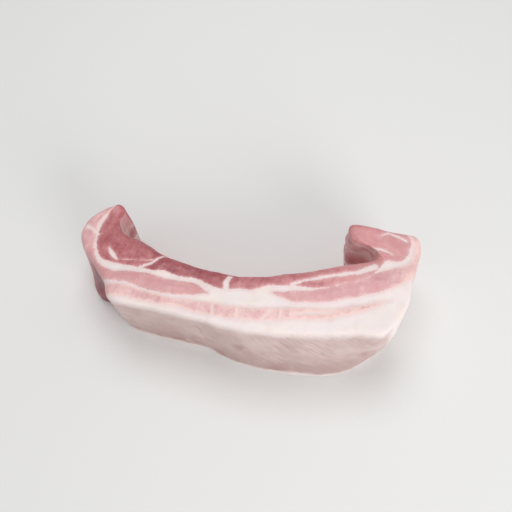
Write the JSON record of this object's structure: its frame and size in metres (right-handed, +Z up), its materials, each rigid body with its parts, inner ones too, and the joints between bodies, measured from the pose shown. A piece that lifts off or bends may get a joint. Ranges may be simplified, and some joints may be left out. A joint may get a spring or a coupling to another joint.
{
  "type": "pork belly slab",
  "caption": "Thick slab of raw pork belly standing on its cut edge, both ends curled back; rind on the outer side, layers of lean and fat on the cut faces, lean meat inside.",
  "frame": {"origin": "middle of the slab's base, on the surface that it stands on", "axes": "+X along the slab, +Y from the rind side to the lean rib side, +Z up from the lower cut face to the upper one"},
  "size_m": [0.2492, 0.1084, 0.0658],
  "materials": {
    "meat": "raw pork belly: pink lean meat and white fat in layers, moist with a soft uneven gloss, and pale grey-pink rind"
  },
  "bodies": {
    "root": {"pork_belly_slab": "meat"}
  },
  "joints": []
}
